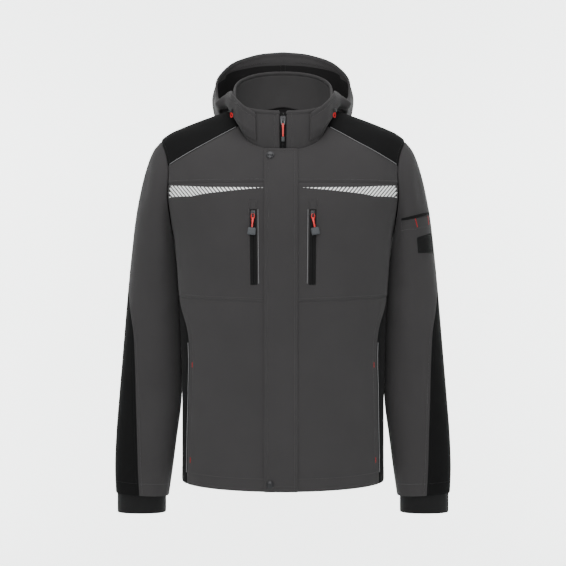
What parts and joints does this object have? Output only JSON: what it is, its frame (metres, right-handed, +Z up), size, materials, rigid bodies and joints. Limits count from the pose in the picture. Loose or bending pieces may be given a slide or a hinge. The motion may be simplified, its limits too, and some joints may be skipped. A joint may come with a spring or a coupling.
{
  "type": "hooded softshell jacket",
  "caption": "Hooded two-tone work jacket with stand collar, storm flap over a full front zip, upright chest pocket zips, sleeve pocket and inner knit cuffs.",
  "frame": {"origin": "centre of the neck's base, level with the ends of the shoulder ridge, where the wearer's shoulders carry the jacket", "axes": "+Z up towards the hood, -Y the way the front faces, +X the wearer's left"},
  "size_m": [0.6708, 0.3292, 0.94],
  "materials": {
    "grey_softshell": "matt bonded softshell, dark warm grey",
    "black_softshell": "matt bonded softshell, black",
    "cuff_knit": "fine black stretch knit",
    "zip_tape": "black woven zip tape with black coil",
    "zip_metal": "satin nickel",
    "snap_metal": "gunmetal lacquer, glossy",
    "red_grip": "bright red moulded plastic",
    "red_cord": "red braided cord",
    "grey_tip": "blue-grey soft rubber, semi-matt",
    "reflective_piping": "silver grey reflective piping",
    "patch": "blank black patch"
  },
  "bodies": {
    "jacket": {"front_low_l": "grey_softshell", "front_low_r": "grey_softshell", "front_mid_l": "grey_softshell", "front_mid_r": "grey_softshell", "front_top_l": "grey_softshell", "front_top_r": "grey_softshell", "yoke_l": "black_softshell", "yoke_r": "black_softshell", "side_l": "black_softshell", "side_r": "black_softshell", "back_yoke": "black_softshell", "back_main": "grey_softshell", "sleeve_front_l": "grey_softshell", "sleeve_front_r": "grey_softshell", "sleeve_back_l": "black_softshell", "sleeve_back_r": "black_softshell", "cuff_l": "cuff_knit", "cuff_r": "cuff_knit", "collar": "grey_softshell", "hood_l": "grey_softshell", "hood_r": "grey_softshell", "front_zip_tape": "zip_tape", "storm_flap": "grey_softshell", "snap_top": "snap_metal", "snap_hem": "snap_metal", "chest_zip_l": "zip_tape", "chest_zip_r": "zip_tape", "zip_garage_l": "grey_softshell", "zip_garage_r": "grey_softshell", "yoke_piping_l": "reflective_piping", "yoke_piping_r": "reflective_piping", "chest_piping_l": "reflective_piping", "chest_piping_r": "reflective_piping", "pocket_piping_l": "reflective_piping", "pocket_piping_r": "reflective_piping", "sleeve_zip": "zip_tape", "sleeve_patch": "patch", "chest_l_slider": "zip_metal", "chest_r_slider": "zip_metal", "front_slider": "zip_metal", "cord_stopper_l": "grey_tip", "cord_loop_l": "red_cord", "cord_stopper_r": "grey_tip", "cord_loop_r": "red_cord"},
    "chest_pull_l": {"chest_l_ring": "red_grip", "chest_l_grip": "red_grip", "chest_l_tip": "grey_tip"},
    "chest_pull_r": {"chest_r_ring": "red_grip", "chest_r_grip": "red_grip", "chest_r_tip": "grey_tip"},
    "front_pull": {"front_ring": "zip_metal", "front_grip": "red_grip", "front_tip": "grey_tip"}
  },
  "joints": [
    {"name": "chest_pull_l_swing", "type": "hinge", "parent": "jacket", "child": "chest_pull_l", "pos_m": [0.05728, -0.14047, -0.19748], "axis": [-0.9979, -0.0652, 0], "range_deg": [0, 150]},
    {"name": "chest_pull_r_swing", "type": "hinge", "parent": "jacket", "child": "chest_pull_r", "pos_m": [-0.05728, -0.14047, -0.19748], "axis": [-0.9979, 0.0652, 0], "range_deg": [0, 150]},
    {"name": "front_pull_swing", "type": "hinge", "parent": "jacket", "child": "front_pull", "pos_m": [0, -0.09746, -0.01425], "axis": [-1, 0, 0], "range_deg": [0, 150]}
  ]
}
